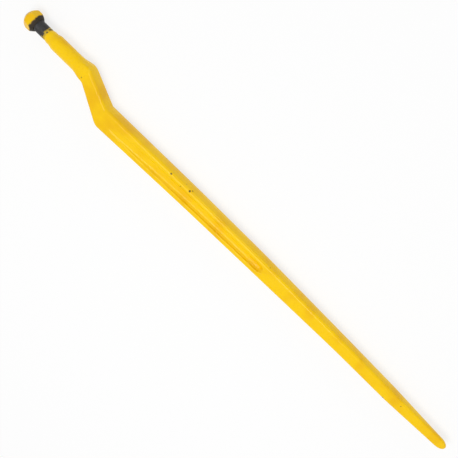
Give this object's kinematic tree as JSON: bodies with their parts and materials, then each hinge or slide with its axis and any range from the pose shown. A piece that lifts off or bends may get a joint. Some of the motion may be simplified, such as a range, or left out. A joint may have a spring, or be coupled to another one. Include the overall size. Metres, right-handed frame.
{
  "type": "bale spear",
  "caption": "Cranked forged bale spear for a loader frame: threaded shank with a hexagon nut, sideways crank, grooved tapering blade and blunt point.",
  "frame": {"origin": "on the shank's axis, at the plane where the round shank ends and swells into the crank", "axes": "+X along the shank towards the point, +Z out of the upper grooved face, and the crank steps sideways to -Y"},
  "size_m": [0.9965, 0.0751, 0.0364],
  "materials": {
    "spear_paint": "gloss",
    "nut_paint": "satin",
    "bare_steel": "satin"
  },
  "bodies": {
    "root": {"spear": "spear_paint", "hex_nut": "nut_paint"}
  },
  "joints": []
}
